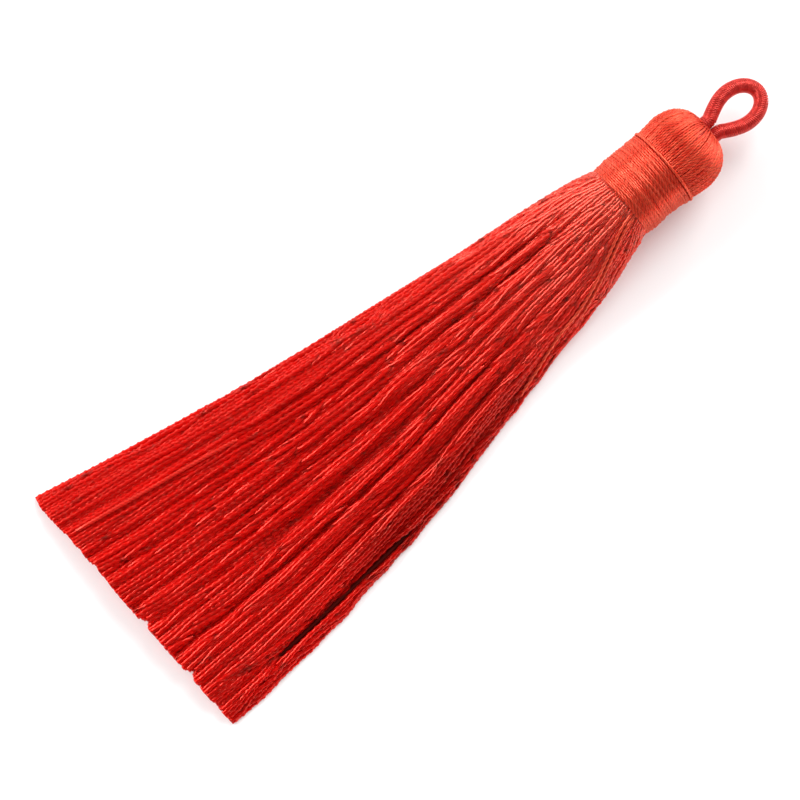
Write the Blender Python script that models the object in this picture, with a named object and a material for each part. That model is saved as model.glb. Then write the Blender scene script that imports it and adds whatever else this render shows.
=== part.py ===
"""Silk tassel lying on a flat surface.

Three solids: the thread hank (domed head, neck and free strands in one piece),
the binding wound round its neck, and the wound cord loop at its crown.

X runs along the tassel, from the cut ends of the strands to the loop. The neck
plane, where the strands leave the binding, is x = 0 while the parts are made;
the finished part is then moved so that the origin is under its middle, on the
surface. Y is across, Z is up. Units are metres; sizes are written in mm * MM.
"""

import math

import bmesh
import bpy
import numpy as np
from mathutils import Vector
from mathutils.geometry import delaunay_2d_cdt

MM = 0.001
SEED = 11
GOLDEN = (1 + math.sqrt(5)) / 2

# Head, neck and binding
AXIS_HEIGHT = 6.7 * MM  # of the head's axis; the head is flattened where it touches the surface
CLEAR = 0.3 * MM  # between two pieces that touch
AROUND = 60  # points round the head
CORE_RADIUS = 5.45 * MM  # the hank inside the binding
FLUTE_DEPTH = 0.12 * MM  # of the grooves between the threads laid over the head
FLUTE_FADE = 5.2 * MM  # radius under which the grooves run out towards the crown

# Distance from the neck plane and radius of the head, from the binding to the crown
HEAD_PROFILE = (
    (9.40, 6.55),
    (10.2, 6.78),
    (11.2, 6.88),
    (12.7, 7.00),
    (14.0, 6.78),
    (15.0, 6.46),
    (15.9, 5.95),
    (16.8, 5.20),
    (17.5, 4.30),
    (18.05, 2.90),
)

# The swelling of the hank where it leaves the binding, down to the roots of the strands
SWELL_PROFILE = (
    (-1.30, 6.60),
    (-0.85, 6.62),
    (-0.30, 6.30),
)

# Distance from the neck plane and outer radius of the binding
BINDING_PROFILE = (
    (0.00, 6.35),
    (2.40, 6.60),
    (4.75, 6.45),
    (7.10, 6.55),
    (9.10, 6.70),
)
BINDING_LENGTH = 9.1 * MM
BINDING_AROUND = 40
BINDING_RIDGES = 10  # each stands for two turns of the winding
RIDGE_DEPTH = 0.10 * MM
PROUD_RIDGE = 0.22 * MM  # the last ridge stands further out than the others

# How far the head and binding lean to +Y of a straight axis
LEAN_ALONG = (0.0, 2.4, 4.75, 7.1, 8.7, 11.0, 15.0, 18.0)
LEAN_ACROSS = (0.15, 0.28, 0.40, 0.30, 0.16, 0.12, 0.20, 0.25)

# Strands: one row for each section across the skirt. "down" is the distance
# from the neck plane, "left" and "right" the half widths to +Y and -Y, "foot"
# and "top" the heights of the bundle's underside and top at the middle,
# "flat" how far the underside has flattened (0 round, 1 flat), "side" the
# side of a strand's square section.
SKIRT_COLUMNS = ("down", "left", "right", "foot", "top", "flat", "side")
SKIRT_SECTIONS = (
    (1.30, 6.25, 6.25, 0.45, 12.95, 0.00, 0.50),
    (5.00, 7.80, 7.90, 0.30, 12.20, 0.35, 0.52),
    (14.0, 9.35, 10.5, 0.00, 10.80, 0.75, 0.55),
    (36.0, 12.4, 15.2, 0.00, 8.10, 1.00, 0.58),
    (66.0, 16.9, 20.7, 0.00, 6.00, 1.00, 0.60),
    (100.6, 24.0, 23.8, 0.00, 4.40, 1.00, 0.62),
)
ROUND_SECTIONS = 2  # the first sections, in which the strands keep inside an oval
OVAL_INSET = 0.65  # between the oval and a strand's middle, as a share of the strand's side
STRANDS = 196
STRAND_GAP = 0.09 * MM  # least space between two strands
SETTLE_ROUNDS = 1500
PLACES = 6  # tested along each stretch of a strand
WATCH = 0.5 * MM  # pairs further apart than this are left out for WATCH_ROUNDS
WATCH_ROUNDS = 12
FALL = 0.004 * MM  # in each round, for the first FALL_SHARE of them
FALL_SHARE = 0.35
WAVER = 0.14 * MM  # unevenness of a strand's course
CUT_SLANT = 1.0 * MM  # the cut ends on the -Y side stop this much short
CUT_RAGGED = 1.1 * MM

# Locks: the strands draw together across the skirt, with grooves between
LOCK_WAVES = ((4.3, 0.4, 0.26), (2.7, 1.9, 0.15))  # spacing, phase, reach in mm

# The bundle at the -Y edge that stands off from the rest
EDGE_BUNDLE = 1.9 * MM
EDGE_PARTING = (0.0, 0.0, 0.0, 0.10, 0.75, 0.25)  # mm, one for each section

# Loop: a wound cord, both legs side by side at the crown
CORD_RADIUS = 1.2 * MM
CORD_SIDES = 12
LEG_SPREAD = 1.27 * MM  # of a leg's middle from the loop's own middle, at the crown
LEG_STRAIGHT = 0.85 * MM
LOOP_SPREAD = 2.98 * MM  # the same where the loop is widest
LOOP_WIDEST = 24.2 * MM  # from the neck plane
BEND_LENGTH = 4.06 * MM  # of the oval bend, from there on
LOOP_ACROSS = -0.12 * MM  # the loop's middle at the crown
LOOP_LEAN = -0.02  # sideways for each unit along
LOOP_DROOP = 1.8 * MM  # its end lies this much lower than its root
LEG_STEPS = 9
BEND_STEPS = 17  # odd, so that one flat facet faces straight back along the loop

SILK = {
    "thread_hank": (0.72, 0.030, 0.022, 1.0),
    "neck_binding": (0.76, 0.045, 0.030, 1.0),
    "hanging_loop": (0.70, 0.030, 0.022, 1.0),
}
SILK_ROUGHNESS = 0.42


def clear_scene():
    for old in list(bpy.data.objects):
        bpy.data.objects.remove(old)


def silk(name, colour):
    material = bpy.data.materials.new(name)
    material.use_nodes = True
    shader = material.node_tree.nodes["Principled BSDF"]
    shader.inputs["Base Color"].default_value = colour
    shader.inputs["Roughness"].default_value = SILK_ROUGHNESS
    shader.inputs["Metallic"].default_value = 0.0
    material.diffuse_color = colour
    return material


def add_piece(name, points, faces):
    """A named object from points in metres, with closed outward faces."""
    mesh = bpy.data.meshes.new(name)
    mesh.from_pydata([tuple(map(float, p)) for p in points], [], faces)
    shape = bmesh.new()
    shape.from_mesh(mesh)
    bmesh.ops.recalc_face_normals(shape, faces=shape.faces)
    shape.to_mesh(mesh)
    shape.free()
    mesh.shade_smooth()
    mesh.set_sharp_from_angle(angle=math.radians(40))
    mesh.materials.append(silk(name, SILK[name]))
    piece = bpy.data.objects.new(name, mesh)
    bpy.context.scene.collection.objects.link(piece)
    return piece


def lean_at(along):
    return np.interp(along / MM, LEAN_ALONG, LEAN_ACROSS) * MM


def ring_round_axis(along, radii, start=0.0):
    """Points round the head's axis at one distance along it, kept above the surface."""
    count = len(radii)
    points = []
    for index, radius in enumerate(radii):
        angle = start + 2 * math.pi * index / count
        across = lean_at(along) + radius * math.cos(angle)
        height = max(AXIS_HEIGHT + radius * math.sin(angle), 0.0)
        points.append((along, across, height))
    return points


def bridge(first, second, count):
    """Quads between two rings of the same number of points, given their first indices."""
    return [
        (first + i, first + (i + 1) % count, second + (i + 1) % count, second + i)
        for i in range(count)
    ]


def fluted(radius, depth):
    """Radii round a ring whose every second point lies in a groove."""
    return [radius - (depth if i % 2 else 0.0) for i in range(AROUND)]


def head_rings():
    """Rings from the roots of the strands, through the binding, to the crown."""
    rings = []
    for along, radius in SWELL_PROFILE:
        rings.append((along * MM, fluted(radius * MM, 0.0)))
    head_start = HEAD_PROFILE[0][0] * MM
    rings.append((-CLEAR, fluted(CORE_RADIUS, 0.0)))
    rings.append((head_start, fluted(CORE_RADIUS, 0.0)))
    for along, radius in HEAD_PROFILE:
        depth = FLUTE_DEPTH * min(1.0, (radius * MM / FLUTE_FADE) ** 2)
        rings.append((along * MM, fluted(radius * MM, depth)))
    return [ring_round_axis(along, radii) for along, radii in rings]


def even_lattice(count):
    """About this many points over the unit disc, which stay well apart however flat it is pressed.

    They are the golden-ratio lattice, whose points keep their distance under any
    stretch one way and squeeze the other.
    """
    step = math.sqrt(math.pi / (count * math.sqrt(5)))
    reach = range(-40, 41)
    points = [
        (step * (m + n * GOLDEN), step * (m + n * (1 - GOLDEN)))
        for m in reach
        for n in reach
    ]
    spots = np.array([p for p in points if math.hypot(*p) < 0.985])
    low, high = spots.min(axis=0), spots.max(axis=0)
    return (2 * spots - low - high) / (high - low)


def lay_out_skirt(rows, spots, rng):
    """Centres of the strands in each section, before they settle."""
    across, up = spots[:, 0], spots[:, 1]
    arch = np.sqrt(np.clip(1 - across**2, 0, 1))
    courses = []
    for row, parting in zip(rows, EDGE_PARTING):
        middle = (row["left"] - row["right"]) / 2
        half = (row["left"] + row["right"] - row["side"]) / 2
        tall = row["top"] - row["foot"] - row["side"]
        level = (1 - row["flat"]) * (1 + up) / 2 + row["flat"] * (up + arch) / 2
        y = middle + half * across
        spread = min(1.0, max(0.0, (half - 7 * MM) / (8 * MM)))
        for spacing, phase, pull in LOCK_WAVES:
            y = y + spread * pull * MM * np.sin(2 * math.pi * y / (spacing * MM) + phase)
        inside = y > middle - half + EDGE_BUNDLE
        near = np.exp(-((y - (middle - half + EDGE_BUNDLE)) / (4 * MM)) ** 2)
        y = y + np.where(inside, parting * MM * near, 0.0)
        z = row["foot"] + row["side"] / 2 + tall * level
        stray = rng.normal(0, WAVER, (2, len(spots))) * min(1.0, row["down"] / (12 * MM))
        courses.append(np.stack([y + stray[0], z + stray[1] / 2], axis=1))
    return np.array(courses)


def close_pairs(here, first, second, needed):
    """The pairs of strands that come near enough at any place to touch in the next few rounds."""
    apart = np.abs(here[:, first] - here[:, second]).max(axis=2) - needed[:, None]
    near = apart.min(axis=0) < WATCH
    return first[near], second[near]


def oval_limit(row):
    """Middle and half sizes of the oval that a section's strands keep their middles in."""
    middle = np.array((row["left"] - row["right"], row["foot"] + row["top"])) / 2
    reach = np.array((row["left"] + row["right"], row["top"] - row["foot"])) / 2
    return middle, reach - OVAL_INSET * row["side"]


def settle(courses, rows):
    """Lets the strands down on the surface and moves them apart until none touches another.

    A strand is straight between two sections, so each pair is tested at a few
    places along the way, and what they must move is shared by the two ends.
    """
    sections, count = courses.shape[:2]
    side = np.array([row["side"] for row in rows])
    floor = np.array([row["foot"] for row in rows]) + side / 2
    low = np.array([-row["right"] for row in rows]) + side / 2
    high = np.array([row["left"] for row in rows]) - side / 2
    weight = np.array([row["flat"] for row in rows])[:, None] * FALL
    ovals = [oval_limit(row) for row in rows[:ROUND_SECTIONS]]
    everyone = np.triu_indices(count, 1)
    before = np.append(np.repeat(np.arange(sections - 1), PLACES), sections - 2)
    part_way = np.append(np.tile(np.arange(PLACES) / PLACES, sections - 1), 1.0)
    needed = (1 - part_way) * side[before] + part_way * side[before + 1] + STRAND_GAP
    blend = part_way[:, None, None]
    for turn in range(SETTLE_ROUNDS):
        if turn < SETTLE_ROUNDS * FALL_SHARE:
            courses[:, :, 1] -= weight
        here = (1 - blend) * courses[before] + blend * courses[before + 1]
        if turn % WATCH_ROUNDS == 0:
            first, second = close_pairs(here, *everyone, needed)
        apart = here[:, first] - here[:, second]
        short = needed[:, None, None] - np.abs(apart)
        place, pair = np.nonzero((short > 0).all(axis=2))
        way = short[place, pair].argmin(axis=1)
        size = short[place, pair, way] * np.where(apart[place, pair, way] < 0, -0.5, 0.5)
        moves, hits = np.zeros_like(courses), np.zeros((sections, count))
        for end, lever in ((before, 1 - part_way), (before + 1, part_way)):
            share = lever[place] / ((1 - part_way[place]) ** 2 + part_way[place] ** 2)
            for strand, sign in ((first[pair], 1), (second[pair], -1)):
                np.add.at(moves, (end[place], strand, way), sign * size * share)
                np.add.at(hits, (end[place], strand), lever[place])
        courses = courses + moves / np.maximum(hits, 1.0)[:, :, None] * 1.2
        courses[:, :, 1] = np.maximum(courses[:, :, 1], floor[:, None])
        courses[:, :, 0] = np.clip(courses[:, :, 0], low[:, None], high[:, None])
        for section, (middle, reach) in enumerate(ovals):
            offset = (courses[section] - middle) / reach
            inward = np.minimum(1.0, 1.0 / np.linalg.norm(offset, axis=1))
            courses[section] = middle + offset * reach * inward[:, None]
    return courses


def strand_ends(courses, rows, rng):
    """The last section of each strand drawn back to its own cut end."""
    last, before = rows[-1], rows[-2]
    across = courses[-1][:, 0]
    slant = (across.max() - across) / (across.max() - across.min())
    ragged = rng.uniform(0, 1, len(across)) ** 1.5
    down = last["down"] - CUT_SLANT * slant - CUT_RAGGED * ragged
    part_way = (down - before["down"]) / (last["down"] - before["down"])
    ends = courses[-2] + (courses[-1] - courses[-2]) * part_way[:, None]
    sides = before["side"] + (last["side"] - before["side"]) * part_way
    return down, ends, sides


def square_section(down, centre, side):
    """The four corners of a strand's section, across the tassel."""
    y, z = centre[0] + lean_at(0.0), centre[1]
    half = side / 2
    low = z - half if z - half > 1e-7 else 0.0
    return [
        (-down, y - half, low),
        (-down, y + half, low),
        (-down, y + half, low + side),
        (-down, y - half, low + side),
    ]


def root_faces(points, rim, roots):
    """Triangles over the plane that the strands grow from, open where each strand starts."""
    flat = [Vector((points[i][1] / MM, points[i][2] / MM)) for i in rim]
    edges = [(i, (i + 1) % len(rim)) for i in range(len(rim))]
    holes = []
    for root in roots:
        start = len(flat)
        corners = [Vector((points[i][1] / MM, points[i][2] / MM)) for i in root]
        flat.extend(corners)
        edges.extend((start + i, start + (i + 1) % 4) for i in range(4))
        holes.append((corners[0], corners[2]))
    used = list(rim) + [i for root in roots for i in root]
    _, _, triangles, origins, _, _ = delaunay_2d_cdt(flat, edges, [], 0, 1e-7)
    lows = np.array([tuple(low) for low, _ in holes])
    highs = np.array([tuple(high) for _, high in holes])
    faces = []
    for triangle in triangles:
        corners = [origins[i][0] for i in triangle]
        middle = sum((np.array(flat[i]) for i in corners), np.zeros(2)) / 3
        if not ((middle > lows) & (middle < highs)).all(axis=1).any():
            faces.append(tuple(used[i] for i in corners))
    return faces


def thread_hank():
    """Head, neck and strands as one closed solid."""
    rng = np.random.default_rng(SEED)
    rows = [
        {key: value * (1 if key == "flat" else MM) for key, value in zip(SKIRT_COLUMNS, row)}
        for row in SKIRT_SECTIONS
    ]
    courses = settle(lay_out_skirt(rows, even_lattice(STRANDS), rng), rows)
    end_down, end_centres, end_sides = strand_ends(courses, rows, rng)

    points, faces = [], []
    rings = head_rings()
    for ring in rings:
        points.extend(ring)
    for index in range(len(rings) - 1):
        faces += bridge(index * AROUND, (index + 1) * AROUND, AROUND)
    crown = (len(rings) - 1) * AROUND
    faces.append(tuple(range(crown, crown + AROUND)))

    roots = []
    for strand in range(courses.shape[1]):
        start = len(points)
        roots.append(tuple(range(start, start + 4)))
        for row, centres in zip(rows[:-1], courses[:-1]):
            points += square_section(row["down"], centres[strand], row["side"])
        points += square_section(end_down[strand], end_centres[strand], end_sides[strand])
        for section in range(len(rows) - 1):
            faces += bridge(start + 4 * section, start + 4 * section + 4, 4)
        tip = start + 4 * (len(rows) - 1)
        faces.append((tip, tip + 1, tip + 2, tip + 3))
    faces += root_faces(points, range(AROUND), roots)
    return add_piece("thread_hank", points, faces)


def binding_rings():
    """Outer rings over crests and grooves of the winding, then the bore's two rings."""
    along, radius = np.array(BINDING_PROFILE).T * MM
    pitch = BINDING_LENGTH / BINDING_RIDGES
    stations = []
    for ridge in range(BINDING_RIDGES):
        groove, crest = ridge * pitch, (ridge + 0.5) * pitch
        rise = PROUD_RIDGE if ridge == BINDING_RIDGES - 1 else RIDGE_DEPTH
        stations.append((groove, np.interp(groove, along, radius)))
        stations.append((crest, np.interp(crest, along, radius) + rise))
    stations.append((BINDING_LENGTH, np.interp(BINDING_LENGTH, along, radius)))
    bore = CORE_RADIUS + CLEAR
    stations += [(BINDING_LENGTH, bore), (0.0, bore)]
    return [ring_round_axis(x, [r] * BINDING_AROUND) for x, r in stations]


def neck_binding():
    """The winding as a sleeve round the hank."""
    points, faces = [], []
    rings = binding_rings()
    for ring in rings:
        points.extend(ring)
    for index in range(len(rings)):
        following = (index + 1) % len(rings)
        faces += bridge(index * BINDING_AROUND, following * BINDING_AROUND, BINDING_AROUND)
    return add_piece("neck_binding", points, faces)


def loop_course():
    """Middle line of the loop's cord, from one leg's foot round to the other's."""
    foot = HEAD_PROFILE[-1][0] * MM + CLEAR
    part = foot + LEG_STRAIGHT
    leg = [(foot, LEG_SPREAD)]
    for step in range(LEG_STEPS):
        t = step / LEG_STEPS
        x = part + (LOOP_WIDEST - part) * t
        y = LEG_SPREAD + (LOOP_SPREAD - LEG_SPREAD) * math.sin(math.pi / 2 * t)
        leg.append((x, y))
    bend = []
    for step in range(BEND_STEPS + 1):
        angle = math.pi / 2 - math.pi * step / BEND_STEPS
        bend.append((LOOP_WIDEST + BEND_LENGTH * math.cos(angle), LOOP_SPREAD * math.sin(angle)))
    back = [(x, -y) for x, y in reversed(leg)]
    reach = LOOP_WIDEST + BEND_LENGTH - foot
    course = []
    for x, y in leg + bend + back:
        middle = LOOP_ACROSS + LOOP_LEAN * (x - foot)
        height = AXIS_HEIGHT - LOOP_DROOP * ((x - foot) / reach) ** 2
        course.append(Vector((x, middle + y, height)))
    return course


def hanging_loop():
    """The wound cord, its two ends square to the crown."""
    course = loop_course()
    points, faces = [], []
    for index, middle in enumerate(course):
        before = course[max(index - 1, 0)]
        after = course[min(index + 1, len(course) - 1)]
        way = (after - before).normalized()
        if index in (0, len(course) - 1):
            way = Vector((1.0 if index == 0 else -1.0, 0.0, 0.0))
        sideways = way.cross(Vector((0, 0, 1))).normalized()
        upward = sideways.cross(way)
        for side in range(CORD_SIDES):
            angle = 2 * math.pi * (side + 0.5) / CORD_SIDES
            points.append(
                middle + CORD_RADIUS * (math.cos(angle) * sideways + math.sin(angle) * upward)
            )
    for index in range(len(course) - 1):
        faces += bridge(index * CORD_SIDES, (index + 1) * CORD_SIDES, CORD_SIDES)
    last = (len(course) - 1) * CORD_SIDES
    faces.append(tuple(range(CORD_SIDES)))
    faces.append(tuple(range(last, last + CORD_SIDES)))
    return add_piece("hanging_loop", points, faces)


def move_to_origin(pieces):
    """Puts the origin under the middle of the whole part."""
    corners = np.array([v.co for piece in pieces for v in piece.data.vertices])
    middle = (corners.min(axis=0) + corners.max(axis=0)) / 2
    for piece in pieces:
        piece.location = (-middle[0], -middle[1], 0.0)


clear_scene()
move_to_origin([thread_hank(), neck_binding(), hanging_loop()])
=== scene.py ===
"""Looks of a red silk tassel lying on a pale surface.

Every thread is a two-ply twist, built as a narrow section that turns along its
course, so that the plies catch the light one after the other. Lengths are in
mm in a frame of the tassel's own: x from the neck plane towards the loop, y
across, z above the surface. place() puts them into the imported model's frame.
"""

import math

import bpy
import numpy as np
from mathutils import Matrix, Vector


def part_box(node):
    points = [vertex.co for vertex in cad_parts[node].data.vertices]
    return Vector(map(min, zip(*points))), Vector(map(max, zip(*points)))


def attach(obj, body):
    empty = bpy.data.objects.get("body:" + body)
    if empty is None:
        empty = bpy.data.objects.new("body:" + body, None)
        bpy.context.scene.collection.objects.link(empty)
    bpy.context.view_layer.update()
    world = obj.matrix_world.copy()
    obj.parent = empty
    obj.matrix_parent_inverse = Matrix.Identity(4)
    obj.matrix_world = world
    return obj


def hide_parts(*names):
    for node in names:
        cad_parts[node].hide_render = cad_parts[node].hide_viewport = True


MM = 0.001
SEED = 5
TAU = 2 * math.pi
GOLDEN = (1 + math.sqrt(5)) / 2
UPWARD = (0.0, 0.0, 1.0)
TINY = 1e-9  # keeps a division or a sign from meeting 0

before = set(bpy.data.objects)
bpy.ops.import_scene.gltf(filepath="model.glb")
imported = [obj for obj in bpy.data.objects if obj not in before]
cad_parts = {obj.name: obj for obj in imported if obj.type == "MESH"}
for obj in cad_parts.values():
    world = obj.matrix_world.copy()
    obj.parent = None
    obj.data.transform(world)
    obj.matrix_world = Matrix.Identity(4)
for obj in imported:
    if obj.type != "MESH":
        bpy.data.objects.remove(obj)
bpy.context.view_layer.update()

# ---------------- the frame

# How far the head and binding lean to +Y of a straight axis: along, across
HEAD_LEAN = (
    (0.0, 0.15), (2.4, 0.17), (4.75, 0.27), (7.1, 0.17),
    (8.7, 0.05), (11.0, 0.00), (15.0, 0.10), (18.0, 0.25),
)
SAME_PLANE = 0.01  # points of the binding this close to its least x are on the neck plane


def neck_from_frame():
    """The neck plane's x, the head's straight axis in y and its height, in mm."""
    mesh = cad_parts["neck_binding"].data
    points = np.array([v.co[:] for v in mesh.vertices]) / MM
    edge = points[points[:, 0] < points[:, 0].min() + SAME_PLANE]
    middle = (edge.min(axis=0) + edge.max(axis=0)) / 2
    return middle[0], middle[1] - HEAD_LEAN[0][1], middle[2]


NECK_X, AXIS_Y, AXIS_HEIGHT = neck_from_frame()
SKIRT_LENGTH = NECK_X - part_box("thread_hank")[0][0] / MM


def place(points):
    """Points of the tassel's own frame, in the model's frame and in metres."""
    return (np.asarray(points) + (NECK_X, AXIS_Y, 0.0)) * MM


# ---------------- courses and pieces


def distance_along(course):
    """Length from the start of a course to each of its points."""
    return np.append(0, np.cumsum(np.linalg.norm(np.diff(course, axis=0), axis=1)))


def smooth_course(stations, values, at):
    """Cubic reading of values, one row a station, at other places."""
    slope = np.gradient(values, stations, axis=0)
    index = np.clip(np.searchsorted(stations, at) - 1, 0, len(stations) - 2)
    width = (stations[index + 1] - stations[index])[:, None]
    t = (at[:, None] - stations[index][:, None]) / width
    a, b = values[index], values[index + 1]
    return (
        a * (2 * t**3 - 3 * t**2 + 1)
        + b * (3 * t**2 - 2 * t**3)
        + width * (slope[index] * (t**3 - 2 * t**2 + t) + slope[index + 1] * (t**3 - t**2))
    )


def square_to(course, outward):
    """outward made square to a course at each of its points, and the direction beside both."""
    way = np.gradient(course, axis=0)
    way /= np.linalg.norm(way, axis=1, keepdims=True)
    outward = outward - (outward * way).sum(axis=1, keepdims=True) * way
    outward /= np.linalg.norm(outward, axis=1, keepdims=True)
    return outward, np.cross(way, outward)


def ramp(values, start, over):
    """0 up to start, rising evenly to 1 over the given length."""
    return np.clip((values - start) / over, 0, 1)


def window(values, start, end, edge):
    """0 outside start and end, rising to 1 over edge from each of them."""
    return ramp(values, start, edge) * ramp(end - values, 0, edge)


def bell(values, middle, half):
    """1 at middle, falling smoothly to both sides, to about a third at half."""
    return np.exp(-(((values - middle) / half) ** 2))


def add_object(name, data):
    made = bpy.data.objects.new(name, data)
    bpy.context.scene.collection.objects.link(made)
    return made


def finish_piece(piece, node, material):
    piece.data.materials.append(material)
    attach(piece, "root")
    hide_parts(node)


def ringed_body(name, rings):
    """A closed smooth body through rings of the same number of points."""
    around = len(rings[0])
    faces = []
    for base in range(0, (len(rings) - 1) * around, around):
        for i in range(around):
            j = (i + 1) % around
            faces.append((base + i, base + j, base + around + j, base + around + i))
    last = (len(rings) - 1) * around
    faces.append(tuple(range(around - 1, -1, -1)))
    faces.append(tuple(range(last, last + around)))
    mesh = bpy.data.meshes.new(name)
    mesh.from_pydata([tuple(p) for p in place(np.concatenate(rings))], [], faces)
    mesh.shade_smooth()
    return add_object(name, mesh)


# ---------------- threads

PLY_LEAD = -2.8  # length of one turn of a thread's two plies, - for a right-hand twist
RING_STEP = 0.22  # between two sections where a thread shows
HIDDEN_STEP = 2.4  # between two sections where it doesn't
FLATNESS = 0.78  # a section's short half width, as a share of its long one
STRIP_RINGS = 480  # sections in one strip of the bake map
STRIP_MARGIN = 2  # free rows between two strips
CAP_SIDE = 0.9  # side of an end cap's patch in the bake map
MAP_MARGIN = 0.001  # free edge of the bake map


def ply_angles(course, lead, phase):
    """Angle of the plies at each point of a course. They don't turn where its points are far apart."""
    steps = np.linalg.norm(np.diff(course, axis=0), axis=1)
    twisting = np.where(steps < abs(lead) / 4, steps, 0.0)
    return phase + TAU * np.append(0.0, np.cumsum(twisting)) / lead


def face_corners(along, around):
    """The map place of each corner of the faces between sections, from its values along and around."""
    ahead = np.stack([along[:-1], along[1:], along[1:], along[:-1]], axis=1)[:, None, :]
    beside = np.stack([around[:-1], around[:-1], around[1:], around[1:]], axis=1)[None, :, :]
    return np.stack(np.broadcast_arrays(ahead, beside), axis=3)


class ThreadBundle:
    """Collects twisted threads and makes one mesh of them."""

    SIDES = 4

    def __init__(self):
        self.points, self.faces, self.plies, self.sections = [], [], [], []
        self.tones, self.pales = [], []
        self.count = 0

    def add(self, course, outward, radius, tone, phase, lead=PLY_LEAD, pale=0.0, press=1.0):
        """One thread along course. outward points away from what it lies on.

        outward, radius, tone (its shade, 0 to 1) and pale (its share of the
        pale colour) are one value or one for each point. press is how tall
        the thread stays where its neighbours press it flat.
        """
        course = np.asarray(course, float)
        outward, sideways = square_to(course, outward)
        radius = np.broadcast_to(radius, len(course))[:, None]
        turned = ply_angles(course, lead, phase)
        rings = []
        for side in range(self.SIDES):
            angle = turned + TAU * side / self.SIDES
            reach = radius * (1.0 if side % 2 == 0 else FLATNESS)
            beside, above = np.cos(angle)[:, None], press * np.sin(angle)[:, None]
            rings.append(course + reach * (beside * sideways + above * outward))
        self.faces += self.thread_faces(len(course))
        self.points.append(np.stack(rings, axis=1).reshape(-1, 3))
        self.sections.append(len(course))
        for kept, values in ((self.tones, tone), (self.pales, pale)):
            kept.append(np.repeat(np.broadcast_to(values, len(course)), self.SIDES))
        self.plies.append(turned / TAU)
        self.count += len(course) * self.SIDES

    def thread_faces(self, sections):
        """The faces round a thread whose points come next, and its two end caps."""
        around = np.arange(self.SIDES)
        after = (around + 1) % self.SIDES
        rows = np.arange(sections - 1)[:, None] * self.SIDES + self.count
        ahead = rows + self.SIDES
        quads = np.stack([rows + around, ahead + around, ahead + after, rows + after], axis=2)
        last = self.count + (sections - 1) * self.SIDES
        caps = np.array([self.count + around, last + around[::-1]])
        return [quads.reshape(-1, 4), caps]

    def triangles(self):
        return sum(len(block) for block in self.faces) * 2

    def mesh(self, name):
        """The object, with a shade at each point and two UV maps: "ply" runs along a thread in turns
        of its plies and once round it, and "OFBake" lays the threads side by side in strips.
        """
        mesh = bpy.data.meshes.new(name)
        points = place(np.concatenate(self.points))
        faces = np.concatenate(self.faces)
        mesh.vertices.add(len(points))
        mesh.vertices.foreach_set("co", points.ravel())
        mesh.loops.add(faces.size)
        mesh.loops.foreach_set("vertex_index", faces.ravel())
        mesh.polygons.add(len(faces))
        mesh.polygons.foreach_set("loop_start", np.arange(0, faces.size, 4))
        ply, bake = self.maps()
        for label, values in (("ply", ply), ("OFBake", bake)):
            layer = mesh.uv_layers.new(name=label)
            layer.data.foreach_set("uv", values.ravel())
        for label, values in (("tone", self.tones), ("pale", self.pales)):
            layer = mesh.attributes.new(label, "FLOAT", "POINT")
            layer.data.foreach_set("value", np.concatenate(values))
        mesh.update(calc_edges=True)
        mesh.validate()
        mesh.shade_smooth()
        return add_object(name, mesh)

    def maps(self):
        """UVs of each face corner, in the order of the faces: the ply map and the bake map."""
        ply_blocks, bake_blocks, row = [], [], 0
        for sections, turns in zip(self.sections, self.plies):
            ply_blocks += self.ply_map(turns)
            bake_blocks += self.bake_map(sections, row)
            row += (sections - 2) // STRIP_RINGS + 1
        bake = np.concatenate(bake_blocks)
        bake -= bake.min(axis=0)
        bake = bake / bake.max(axis=0) * (1 - 2 * MAP_MARGIN) + MAP_MARGIN
        return np.concatenate(ply_blocks), bake

    def ply_map(self, turns):
        """One thread's corners in the ply map. Its end caps lie on its first point."""
        around = np.arange(self.SIDES + 1) / self.SIDES
        ply = face_corners(turns, around)
        return [ply.reshape(-1, 2), np.tile(ply[0, 0, 0], (2 * self.SIDES, 1))]

    def bake_map(self, sections, row):
        """One thread's corners in the bake map: its strips, and its end caps beside them."""
        around = np.arange(self.SIDES + 1.0)
        first = np.arange(sections - 1)
        strip = face_corners(np.arange(sections), around)
        strip[..., 0] -= (first - first % STRIP_RINGS)[:, None, None]
        pitch = self.SIDES + STRIP_MARGIN
        strip[..., 1] += (row + first // STRIP_RINGS)[:, None, None] * pitch
        cap = CAP_SIDE * np.array([[0, 0], [1, 0], [1, 1], [0, 1]])
        caps = [cap + (place_along, row * pitch) for place_along in (-2.0, -1.0)]
        return [strip.reshape(-1, 2), *caps]


# ---------------- skirt: sizes

# Distance down the skirt, and there its half widths to +Y and -Y, heights of the
# underside and the top, how far the underside has flattened, and the thread's radius
SKIRT_TABLE = (
    (-1.5, 5.60, 5.40, 1.20, 12.3, 0.00, 0.233),
    (0.00, 6.60, 6.20, 0.45, 12.9, 0.00, 0.247),
    (3.20, 7.45, 7.30, 0.25, 12.3, 0.20, 0.265),
    (6.30, 8.10, 8.40, 0.10, 11.4, 0.38, 0.272),
    (9.50, 8.65, 9.27, 0.00, 10.6, 0.55, 0.276),
    (12.7, 9.11, 10.1, 0.00, 9.80, 0.68, 0.280),
    (19.0, 9.83, 11.2, 0.00, 8.60, 0.82, 0.282),
    (25.4, 10.6, 12.5, 0.00, 7.70, 0.92, 0.284),
    (38.0, 12.5, 15.4, 0.00, 6.70, 1.00, 0.286),
    (50.7, 14.3, 18.4, 0.00, 6.00, 1.00, 0.289),
    (63.4, 16.3, 20.2, 0.00, 5.50, 1.00, 0.294),
    (76.1, 18.8, 22.1, 0.00, 5.10, 1.00, 0.299),
    (88.8, 21.4, 23.3, 0.00, 4.80, 1.00, 0.305),
    (101.0, 24.1, 23.9, 0.00, 4.60, 1.00, 0.309),
)
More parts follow.
